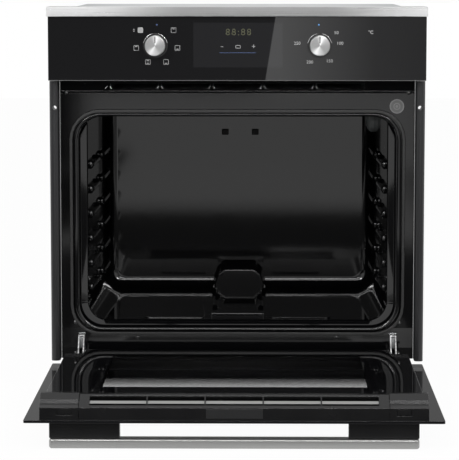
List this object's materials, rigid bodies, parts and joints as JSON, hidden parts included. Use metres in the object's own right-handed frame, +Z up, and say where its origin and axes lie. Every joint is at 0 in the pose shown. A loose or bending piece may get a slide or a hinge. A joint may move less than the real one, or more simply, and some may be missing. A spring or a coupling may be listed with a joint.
{
  "type": "built-in oven",
  "caption": "Built-in electric kitchen oven with black glass fascia, pop-out knobs, enamelled cavity and a drop-down glass door that lies open.",
  "frame": {"origin": "centre of the face that the chassis stands on, as mount base", "axes": "+Z up out of the base, front and open door towards -Y, +X to the right seen from the front"},
  "size_m": [0.597, 1.0418, 0.6139],
  "materials": {
    "black_enamel": "glossy",
    "black_paint": "satin",
    "galvanised_steel": "matte",
    "brushed_steel": "brushed",
    "zinc_plated_steel": "satin",
    "heating_rod": "satin",
    "rotor_aluminium": "satin",
    "black_glass": "glossy",
    "clear_glass": "glossy",
    "black_seal": "matte",
    "mineral_wool": "matte",
    "black_plastic": "satin",
    "ceramic": "matte"
  },
  "bodies": {
    "oven_body": {"air_duct": "galvanised_steel", "blower_housing": "galvanised_steel", "blower_motor": "galvanised_steel", "bottom_element": "heating_rod", "cable_gland": "black_plastic", "cavity": "black_enamel", "cavity_gasket": "black_seal", "chassis_back": "galvanised_steel", "chassis_base": "black_paint", "chassis_left": "galvanised_steel", "chassis_right": "galvanised_steel", "chassis_top": "galvanised_steel", "clock_module": "black_plastic", "control_glass": "black_glass", "front_frame": "black_enamel", "function_switch": "black_plastic", "grill_element": "heating_rod", "hinge_arm_left": "zinc_plated_steel", "hinge_arm_right": "zinc_plated_steel", "hinge_receptacle_left": "zinc_plated_steel", "hinge_receptacle_right": "zinc_plated_steel", "insulation": "mineral_wool", "knob_collar_left": "black_plastic", "knob_collar_right": "black_plastic", "lamp_glass": "clear_glass", "lamp_holder": "ceramic", "panel_housing": "black_plastic", "service_deck": "galvanised_steel", "side_trim_left": "black_paint", "side_trim_right": "black_paint", "terminal_cover": "black_plastic", "thermostat": "black_plastic", "top_strip": "brushed_steel"},
    "door": {"door_bottom_rail": "black_paint", "door_rail_left": "black_paint", "door_rail_right": "black_paint", "door_top_trim": "black_plastic", "handle_bar": "brushed_steel", "handle_post_left": "black_plastic", "handle_post_right": "black_plastic", "hinge_case_left": "zinc_plated_steel", "hinge_case_right": "zinc_plated_steel", "hinge_pin_left": "zinc_plated_steel", "hinge_pin_right": "zinc_plated_steel", "inner_glass": "black_glass", "middle_glass": "clear_glass", "outer_glass": "black_glass", "trim_clip_left": "black_plastic", "trim_clip_right": "black_plastic"},
    "function_shaft": {"knob_shaft_left": "galvanised_steel"},
    "function_knob": {"knob_left": "brushed_steel"},
    "temperature_shaft": {"knob_shaft_right": "galvanised_steel"},
    "temperature_knob": {"knob_right": "brushed_steel"},
    "fan_rotor": {"blower_drum": "rotor_aluminium"},
    "lock_lever_left": {"hinge_lock_left": "zinc_plated_steel"},
    "lock_lever_right": {"hinge_lock_right": "zinc_plated_steel"},
    "release_button_left": {"trim_button_left": "black_plastic"},
    "release_button_right": {"trim_button_right": "black_plastic"}
  },
  "joints": [
    {"name": "door_hinge", "type": "hinge", "parent": "oven_body", "child": "door", "pos_m": [0, -0.3105, 0.01], "axis": [-1, 0, 0], "range_deg": [0, 90]},
    {"name": "function_turn", "type": "hinge", "parent": "oven_body", "child": "function_shaft", "pos_m": [-0.128, -0.295, 0.5168], "axis": [0, 1, 0], "continuous": true},
    {"name": "function_push", "type": "slide", "parent": "function_shaft", "child": "function_knob", "axis": [0, 1, 0], "range_m": [0, 0.014]},
    {"name": "temperature_turn", "type": "hinge", "parent": "oven_body", "child": "temperature_shaft", "pos_m": [0.1295, -0.295, 0.5168], "axis": [0, 1, 0], "range_deg": [0, 285]},
    {"name": "temperature_push", "type": "slide", "parent": "temperature_shaft", "child": "temperature_knob", "axis": [0, 1, 0], "range_m": [0, 0.014]},
    {"name": "fan_spin", "type": "hinge", "parent": "oven_body", "child": "fan_rotor", "pos_m": [0, 0.105, 0.483], "axis": [1, 0, 0], "continuous": true},
    {"name": "lock_left", "type": "hinge", "parent": "oven_body", "child": "lock_lever_left", "pos_m": [-0.25, -0.2835, 0.044], "axis": [-1, 0, 0], "range_deg": [-60, 0]},
    {"name": "lock_right", "type": "hinge", "parent": "oven_body", "child": "lock_lever_right", "pos_m": [0.25, -0.2835, 0.044], "axis": [-1, 0, 0], "range_deg": [-60, 0]},
    {"name": "release_left", "type": "slide", "parent": "door", "child": "release_button_left", "axis": [0, 1, 0], "range_m": [0, 0.002], "stiffness_N_per_m": 600},
    {"name": "release_right", "type": "slide", "parent": "door", "child": "release_button_right", "axis": [0, 1, 0], "range_m": [0, 0.002], "stiffness_N_per_m": 600}
  ]
}
